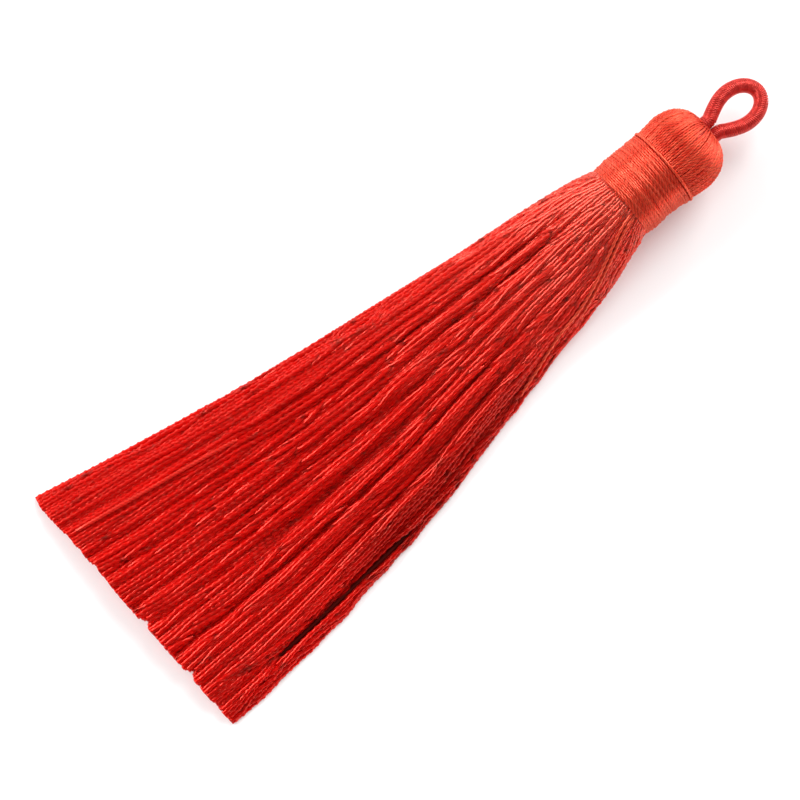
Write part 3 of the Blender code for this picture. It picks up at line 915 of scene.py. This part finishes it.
CORD_RADIUS = 1.24
LOOP_FOOT, CROWN = 17.6, 18.35  # the legs start inside the head and leave it at the crown
LEG_SPREAD, LEG_PARTING = 1.19, 19.2  # half the space between the legs, and where they part
LOOP_SPREAD, LOOP_WIDEST, BEND_LENGTH = 2.98, 24.2, 4.06  # the same at the widest, and from there on
LOOP_ACROSS, LOOP_LEAN, LOOP_DROOP = -0.12, -0.02, 1.8  # shift in y, the same per mm, drop of the bend
FOOT_POINTS, LEG_POINTS, BEND_POINTS = 12, 60, 90
LOOP_SMOOTHING = 6  # rounds that round off where the stretches meet
LOOP_STARTS, LOOP_PITCH, LOOP_THREAD = 6, 0.30, 0.17  # the winding's threads: number, spacing, radius
LOOP_TURN_STEPS = 48  # sections in one turn of them
LOOP_DEPTH = 0.6  # of their middles under the cord's surface, in radii
LOOP_FULLNESS, LOOP_PRESSED, LOOP_LEAD = 1.15, 0.3, -1.4
LOOP_SWAY, SWAY_WAVES = 0.12, 1.7  # unevenness of the turns, in radians, and how fast it changes
LOOP_CORE = CORD_RADIUS - 0.2
MEASURE_POINTS, CORE_RINGS, CORE_SIDES = 200, 120, 12


def loop_course(count):
    """Evenly spaced middle points of the cord, from one leg's foot to the other's."""
    foot_x = np.linspace(LOOP_FOOT, LEG_PARTING, FOOT_POINTS)[:-1]
    foot = np.stack([foot_x, np.full(len(foot_x), LEG_SPREAD)], axis=1)
    t = np.linspace(0, 1, LEG_POINTS)[:-1]
    opening = LEG_SPREAD + (LOOP_SPREAD - LEG_SPREAD) * np.sin(t * TAU / 4)
    leg = np.stack([LEG_PARTING + (LOOP_WIDEST - LEG_PARTING) * t, opening], axis=1)
    angle = np.linspace(TAU / 4, -TAU / 4, BEND_POINTS)
    bend = np.stack([LOOP_WIDEST + BEND_LENGTH * np.cos(angle), LOOP_SPREAD * np.sin(angle)], axis=1)
    half = np.concatenate([foot, leg])
    flat = np.concatenate([half, bend, half[::-1] * (1, -1)])
    for _ in range(LOOP_SMOOTHING):
        flat[1:-1] = (flat[:-2] + 2 * flat[1:-1] + flat[2:]) / 4
    gone = distance_along(flat)
    at = np.linspace(0, gone[-1], count)
    x, y = np.interp(at, gone, flat[:, 0]), np.interp(at, gone, flat[:, 1])
    past = np.clip(x - CROWN, 0, None)
    reach = LOOP_WIDEST + BEND_LENGTH - CROWN
    height = AXIS_HEIGHT - LOOP_DROOP * (past / reach) ** 2
    return np.stack([x, y + LOOP_ACROSS + LOOP_LEAN * past, height], axis=1)


def loop_piece(rng, material):
    """A cord wound with silk in close slanting turns, and the core inside it."""
    lead = LOOP_PITCH * LOOP_STARTS
    length = distance_along(loop_course(MEASURE_POINTS))[-1]
    centre = loop_course(int(length / lead * LOOP_TURN_STEPS))
    up, side = square_to(centre, UPWARD)
    gone = distance_along(centre)
    bundle = ThreadBundle()
    for start in range(LOOP_STARTS):
        sway = LOOP_SWAY * np.sin(gone * SWAY_WAVES + start)
        angle = -TAU * (gone / lead + start / LOOP_STARTS) + sway
        outward = np.cos(angle)[:, None] * side + np.sin(angle)[:, None] * up
        path = centre + (CORD_RADIUS - LOOP_DEPTH * LOOP_THREAD) * outward
        tone, phase = start / (LOOP_STARTS - 1), rng.uniform(0, TAU)
        width = LOOP_THREAD * LOOP_FULLNESS
        bundle.add(path, outward, width, tone, phase, lead=LOOP_LEAD, press=LOOP_PRESSED)
    finish_piece(bundle.mesh("loop_winding"), "hanging_loop", material)
    angles = TAU * np.arange(CORE_SIDES)[:, None] / CORE_SIDES
    centre, rings = loop_course(CORE_RINGS), []
    for middle, above, beside in zip(centre, *square_to(centre, UPWARD)):
        rings.append(middle + LOOP_CORE * (np.cos(angles) * beside + np.sin(angles) * above))
    finish_piece(ringed_body("loop_core", rings), "hanging_loop", material)


# ---------------- materials

SILK_IOR = 1.6
SCATTER_REACH, SCATTER_COLOURS = 1.5 * MM, (1.0, 0.15, 0.10)  # how far light goes into the silk
PLY_TOP = 0.6  # height, 0 to 1, above which a ply gets no painted shade
# Painted glints on the tops of the plies
CREST_FROM = 0.70  # height above which it can carry a painted glint
GLINT_SCALE, GLINT_DETAIL = 1300.0, 2.0
GLINT_FROM, GLINT_FULL = 0.48, 0.66  # noise at which a painted glint begins and is full


def node(material, kind, inputs=None, **settings):
    """A shader node with its settings. Each of the inputs gets a socket or a fixed value."""
    made = material.node_tree.nodes.new(kind)
    for key, value in settings.items():
        setattr(made, key, value)
    for key, value in (inputs or {}).items():
        if isinstance(value, bpy.types.NodeSocket):
            material.node_tree.links.new(value, made.inputs[key])
        else:
            made.inputs[key].default_value = value
    return made


def math_on(material, operation, *values):
    inputs = dict(enumerate(values))
    return node(material, "ShaderNodeMath", inputs, operation=operation).outputs[0]


def mixed(material, factor, first, second, blend="MIX"):
    inputs = {"Factor": factor, "A": first, "B": second}
    return node(material, "ShaderNodeMix", inputs, data_type="RGBA", blend_type=blend).outputs["Result"]


def ranged(material, value, start, end, low, high):
    """Output that goes from low to high while value goes from start to end."""
    inputs = {"Value": value, "From Min": start, "From Max": end, "To Min": low, "To Max": high}
    return node(material, "ShaderNodeMapRange", inputs).outputs["Result"]


def ply_height(material):
    """Height over the lines between a thread's two plies: 0 in them and 1 on top of a ply."""
    ply_map = node(material, "ShaderNodeUVMap", uv_map="ply").outputs["UV"]
    round_thread = node(material, "ShaderNodeSeparateXYZ", {0: ply_map}).outputs["Y"]
    turn = math_on(material, "MULTIPLY", round_thread, TAU)
    return math_on(material, "ABSOLUTE", math_on(material, "COSINE", turn))


def painted_glint_share(material, height, painted_glints):
    """Painted glints: patches, up to painted_glints strong, on the tops of the plies."""
    spread = node(material, "ShaderNodeTexCoord").outputs["Object"]
    inputs = {"Vector": spread, "Scale": GLINT_SCALE, "Detail": GLINT_DETAIL}
    patches = node(material, "ShaderNodeTexNoise", inputs).outputs["Fac"]
    crest = ranged(material, height, CREST_FROM, 1.0, 0.0, 1.0)
    chosen = ranged(material, patches, GLINT_FROM, GLINT_FULL, 0.0, painted_glints)
    return math_on(material, "MULTIPLY", crest, chosen)


def surface(name, inputs):
    """A material, and its shader with fixed values for these inputs."""
    material = bpy.data.materials.new(name)
    material.use_nodes = True
    shader = material.node_tree.nodes["Principled BSDF"]
    for key, value in inputs.items():
        shader.inputs[key].default_value = value
    return material, shader


def silk(name, deep, bright, pale, gleam, gloss, roughness, metallic, translucent, groove_shade, painted_glints):
    """Twisted silk. A thread's tone puts it between deep and bright, its pale share takes it
    towards pale, which is painted sheen near the neck of the skirt, and painted shade darkens
    the line between its plies to groove_shade. gleam is the colour of its gloss, and
    painted_glints is how much of pale there is in the brightest glints painted on its plies.
    """
    material, shader = surface(name, {
        "Roughness": roughness, "IOR": SILK_IOR, "Metallic": metallic,
        "Specular IOR Level": gloss, "Specular Tint": (*gleam, 1),
        "Subsurface Weight": translucent, "Subsurface Radius": SCATTER_COLOURS,
        "Subsurface Scale": SCATTER_REACH,
    })
    tone = node(material, "ShaderNodeAttribute", attribute_name="tone").outputs["Fac"]
    pale_share = node(material, "ShaderNodeAttribute", attribute_name="pale").outputs["Fac"]
    colour = mixed(material, tone, (*deep, 1), (*bright, 1))
    # the pale share takes the colour towards pale; on the skirt near the neck this is painted sheen
    colour = mixed(material, pale_share, colour, (*pale, 1))
    height = ply_height(material)
    # painted shade in the line between the two plies
    groove = ranged(material, height, 0.0, PLY_TOP, groove_shade, 1.0)
    colour = mixed(material, 1.0, colour, groove, blend="MULTIPLY")
    # painted glints of the pale colour on the tops of the plies
    colour = mixed(material, painted_glint_share(material, height, painted_glints), colour, (*pale, 1))
    material.node_tree.links.new(colour, shader.inputs["Base Color"])
    return material


# ---------------- stage

AIM = (-46.25, -1.39, 2.5)  # what the camera looks at
ELEVATION = math.radians(89)
UP_IN_PICTURE = math.radians(50.03)  # the direction that is up in the picture, from +X towards +Y
LENS = 150.0
SENSOR = 36.0
FRAME_WIDTH = 126.6  # mm of the part across the picture
NEAR_CLIP, FAR_CLIP = 0.01, 10  # metres

FLOOR_HALF = 3.0  # metres
FLOOR_LOOKS = {"Base Color": (0.95, 0.95, 0.95, 1), "Roughness": 0.8, "Specular IOR Level": 0.1}
WORLD_LIGHT = 0.67
# Soft boxes: the direction they stand in, distance and side in metres, power in watts, colour
LIGHTS = (
    ("key", (0.74, 0.25, 0.63), 1.8, 1.0, 20.0, (1, 1, 1)),
    ("low", (1.00, 0.10, 0.22), 1.7, 0.6, 8.0, (1, 1, 1)),
    ("sheen", (-0.35, 0.80, 0.52), 1.8, 0.85, 24.0, (1, 1, 1)),
    ("rim", (0.10, -1.00, 0.06), 1.6, 0.6, 4.0, (1, 0.15, 0.10)),
)


def camera():
    data = bpy.data.cameras.new("camera")
    data.lens, data.sensor_width = LENS, SENSOR
    data.clip_start, data.clip_end = NEAR_CLIP, FAR_CLIP
    eye = add_object("camera", data)
    distance = FRAME_WIDTH * LENS / SENSOR * MM
    ahead = Vector((math.cos(UP_IN_PICTURE), math.sin(UP_IN_PICTURE), 0))
    back = -ahead * math.cos(ELEVATION) + Vector(UPWARD) * math.sin(ELEVATION)
    right = ahead.cross(back).normalized()
    up = back.cross(right)
    eye.location = Vector(place([AIM])[0]) + back * distance
    eye.rotation_euler = Matrix((right, up, back)).transposed().to_euler()
    bpy.context.scene.camera = eye


def area_light(name, direction, distance, size, power, colour):
    data = bpy.data.lights.new(name, "AREA")
    data.size, data.energy, data.color = size, power, colour
    lamp = add_object(name, data)
    way = Vector(direction).normalized()
    lamp.location = way * distance
    lamp.rotation_euler = (-way).to_track_quat("-Z", "Y").to_euler()


def pale_floor():
    corners = [(x * FLOOR_HALF, y * FLOOR_HALF, 0) for x, y in ((-1, -1), (1, -1), (1, 1), (-1, 1))]
    mesh = bpy.data.meshes.new("floor")
    mesh.from_pydata(corners, [], [(0, 1, 2, 3)])
    floor = add_object("floor", mesh)
    mesh.materials.append(surface("floor", FLOOR_LOOKS)[0])


def lighting():
    world = bpy.data.worlds.new("studio")
    world.use_nodes = True
    background = world.node_tree.nodes["Background"]
    background.inputs["Color"].default_value = (1, 1, 1, 1)
    background.inputs["Strength"].default_value = WORLD_LIGHT
    world.cycles_visibility.glossy = False  # the silk reflects the lamps and the floor
    bpy.context.scene.world = world
    for light in LIGHTS:
        area_light(*light)
    bpy.context.scene.view_settings.view_transform = "Standard"


# ---------------- making

camera()
pale_floor()
lighting()
rng = np.random.default_rng(SEED)
skirt_silk = silk(
    "skirt_silk", (0.45, 0.0006, 0.0004), (1.00, 0.007, 0.005), (1.0, 0.090, 0.058), (1.0, 0.35, 0.25),
    gloss=1.0, roughness=0.20, metallic=0.30, translucent=0.85, groove_shade=0.68, painted_glints=0.35,
)
# painted shade: near-black silk for the threads under the partings
painted_shade_silk = silk(
    "painted_shade_silk", (0.07, 0.0004, 0.0003), (0.12, 0.001, 0.001), (0.2, 0.01, 0.01), (1.0, 0.35, 0.25),
    gloss=0.3, roughness=0.6, metallic=0.0, translucent=0.0, groove_shade=0.8, painted_glints=0.0,
)
binding_silk = silk(
    "binding_silk", (0.86, 0.036, 0.017), (1.0, 0.090, 0.042), (1.00, 0.20, 0.12), (1.0, 0.6, 0.4),
    gloss=1.0, roughness=0.30, metallic=0.45, translucent=0.2, groove_shade=0.50, painted_glints=0.45,
)
loop_silk = silk(
    "loop_silk", (0.60, 0.019, 0.017), (0.80, 0.036, 0.031), (1.0, 0.12, 0.08), (1.0, 0.50, 0.40),
    gloss=1.0, roughness=0.33, metallic=0.40, translucent=0.2, groove_shade=0.6, painted_glints=0.20,
)
skirt_pieces(rng, skirt_silk, binding_silk, painted_shade_silk)
head_bed(skirt_silk)
head_piece(rng, binding_silk)
binding_piece(rng, binding_silk)
loop_piece(rng, loop_silk)
